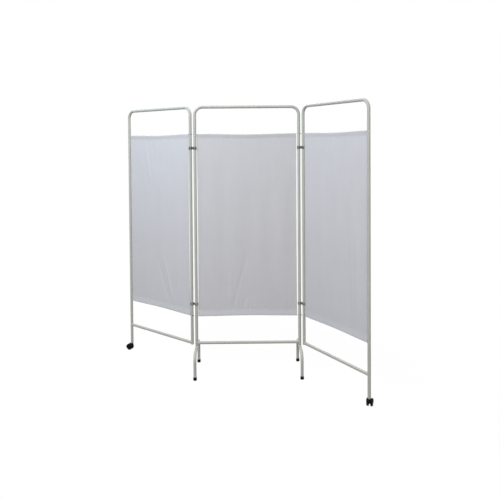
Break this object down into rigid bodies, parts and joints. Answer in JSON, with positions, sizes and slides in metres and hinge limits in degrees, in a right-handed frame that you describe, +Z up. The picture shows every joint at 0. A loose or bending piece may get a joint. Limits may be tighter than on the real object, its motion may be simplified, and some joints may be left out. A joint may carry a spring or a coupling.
{
  "type": "folding ward privacy screen",
  "caption": "Folding privacy screen: hemmed cloths on rods in bent-tube panels, a centre panel on foot hoops, and side panels on clips and twin-wheel castors.",
  "frame": {"origin": "on the floor, under the middle of the box round the standing screen", "axes": "+X along the centre panel to the viewer's right, +Y away from the viewer, square to the centre panel, +Z up"},
  "size_m": [1.5632, 1.0142, 1.6998],
  "materials": {
    "frame_paint": "semi-gloss ivory powder coat",
    "cloth": "plain woven, off-white",
    "foot_rubber": "matte black",
    "castor_plastic": "moulded black",
    "wheel_plastic": "black tread",
    "plug_plastic": "light grey",
    "clip_steel": "plated, slightly dull",
    "rod_steel": "bright"
  },
  "bodies": {
    "centre": {"centre_frame": "frame_paint", "centre_cross_rail": "frame_paint", "centre_top_rod": "rod_steel", "centre_top_rod_cap": "clip_steel", "centre_bottom_rod": "rod_steel", "centre_bottom_rod_cap": "clip_steel", "centre_cloth": "cloth", "left_foot_hoop": "frame_paint", "right_foot_hoop": "frame_paint", "left_front_foot_tip": "foot_rubber", "left_rear_foot_tip": "foot_rubber", "right_front_foot_tip": "foot_rubber", "right_rear_foot_tip": "foot_rubber"},
    "left_link": {"left_upper_hinge_front_strap": "clip_steel", "left_upper_hinge_rear_strap": "clip_steel", "left_upper_hinge_bolt": "clip_steel", "left_upper_hinge_nut": "clip_steel", "left_lower_hinge_front_strap": "clip_steel", "left_lower_hinge_rear_strap": "clip_steel", "left_lower_hinge_bolt": "clip_steel", "left_lower_hinge_nut": "clip_steel"},
    "right_link": {"right_upper_hinge_front_strap": "clip_steel", "right_upper_hinge_rear_strap": "clip_steel", "right_upper_hinge_bolt": "clip_steel", "right_upper_hinge_nut": "clip_steel", "right_lower_hinge_front_strap": "clip_steel", "right_lower_hinge_rear_strap": "clip_steel", "right_lower_hinge_bolt": "clip_steel", "right_lower_hinge_nut": "clip_steel"},
    "left_panel": {"left_frame": "frame_paint", "left_cross_rail": "frame_paint", "left_top_rod": "rod_steel", "left_top_rod_cap": "clip_steel", "left_bottom_rod": "rod_steel", "left_bottom_rod_cap": "clip_steel", "left_cloth": "cloth", "left_tube_plug": "plug_plastic", "left_castor_socket": "castor_plastic", "left_castor_stem": "rod_steel"},
    "right_panel": {"right_frame": "frame_paint", "right_cross_rail": "frame_paint", "right_top_rod": "rod_steel", "right_top_rod_cap": "clip_steel", "right_bottom_rod": "rod_steel", "right_bottom_rod_cap": "clip_steel", "right_cloth": "cloth", "right_tube_plug": "plug_plastic", "right_castor_socket": "castor_plastic", "right_castor_stem": "rod_steel"},
    "left_castor": {"left_castor_body": "castor_plastic", "left_castor_axle": "rod_steel"},
    "right_castor": {"right_castor_body": "castor_plastic", "right_castor_axle": "rod_steel"},
    "left_near_wheel": {"left_castor_near_wheel": "wheel_plastic"},
    "left_far_wheel": {"left_castor_far_wheel": "wheel_plastic"},
    "right_near_wheel": {"right_castor_near_wheel": "wheel_plastic"},
    "right_far_wheel": {"right_castor_far_wheel": "wheel_plastic"}
  },
  "joints": [
    {"name": "left_link_turn", "type": "hinge", "parent": "centre", "child": "left_link", "pos_m": [-0.24241, 0.06021, 0.9305], "axis": [0, 0, -1], "range_deg": [-65.5, 69.5]},
    {"name": "left_fold", "type": "hinge", "parent": "left_link", "child": "left_panel", "pos_m": [-0.27192, 0.07125, 0.9305], "axis": [0, 0, -1], "range_deg": [-65.5, 69.5]},
    {"name": "right_link_turn", "type": "hinge", "parent": "centre", "child": "right_link", "pos_m": [0.41859, 0.06021, 0.9305], "axis": [0, 0, -1], "range_deg": [-75.25, 59.75]},
    {"name": "right_fold", "type": "hinge", "parent": "right_link", "child": "right_panel", "pos_m": [0.4458, 0.04435, 0.9305], "axis": [0, 0, -1], "range_deg": [-75.25, 59.75]},
    {"name": "left_castor_swivel", "type": "hinge", "parent": "left_panel", "child": "left_castor", "pos_m": [-0.73833, 0.47669, 0.04], "axis": [0, 0, 1], "continuous": true},
    {"name": "right_castor_swivel", "type": "hinge", "parent": "right_panel", "child": "right_castor", "pos_m": [0.75011, -0.49353, 0.04], "axis": [0, 0, 1], "continuous": true},
    {"name": "left_near_wheel_spin", "type": "hinge", "parent": "left_castor", "child": "left_near_wheel", "pos_m": [-0.75528, 0.4769, 0.02], "axis": [-0.342, -0.9397, 0], "continuous": true},
    {"name": "left_far_wheel_spin", "type": "hinge", "parent": "left_castor", "child": "left_far_wheel", "pos_m": [-0.75145, 0.48743, 0.02], "axis": [-0.342, -0.9397, 0], "continuous": true},
    {"name": "right_near_wheel_spin", "type": "hinge", "parent": "right_castor", "child": "right_near_wheel", "pos_m": [0.75092, -0.4766, 0.02], "axis": [-0.9272, 0.3746, 0], "continuous": true},
    {"name": "right_far_wheel_spin", "type": "hinge", "parent": "right_castor", "child": "right_far_wheel", "pos_m": [0.7613, -0.4808, 0.02], "axis": [-0.9272, 0.3746, 0], "continuous": true}
  ],
  "couplings": [
    {"joint": "left_link_turn", "follows": "left_fold", "ratio": 1},
    {"joint": "right_link_turn", "follows": "right_fold", "ratio": 1}
  ]
}
